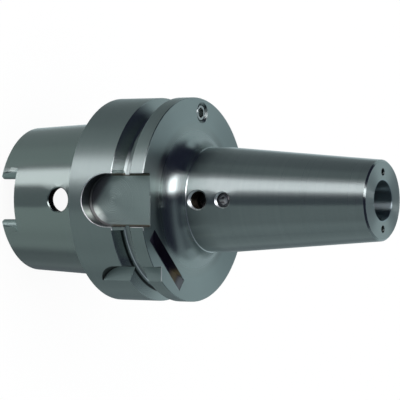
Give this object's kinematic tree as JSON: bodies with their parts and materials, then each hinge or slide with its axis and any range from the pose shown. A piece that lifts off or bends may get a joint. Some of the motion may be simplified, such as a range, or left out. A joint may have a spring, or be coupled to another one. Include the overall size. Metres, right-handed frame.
{
  "type": "shrink fit holder",
  "caption": "Steel shrink fit tool holder with a hollow taper shank, a grooved and keyed flange, and a slim conical nose.",
  "frame": {"origin": "centre of the flange's contact face, where the flange seats on the spindle", "axes": "+Z along the axis of rotation, towards the nose that grips the tool; -Y through the middle of the narrower flange keyway"},
  "size_m": [0.063, 0.063, 0.122],
  "materials": {
    "holder_steel": "turned and ground hot-work steel, satin, darkened by heat",
    "screw_steel": "blackened alloy steel"
  },
  "bodies": {
    "root": {"holder_body": "holder_steel", "length_stop_screw": "screw_steel", "stop_lock_screw": "screw_steel", "neck_balance_screw": "screw_steel", "face_balance_screw": "screw_steel"}
  },
  "joints": []
}
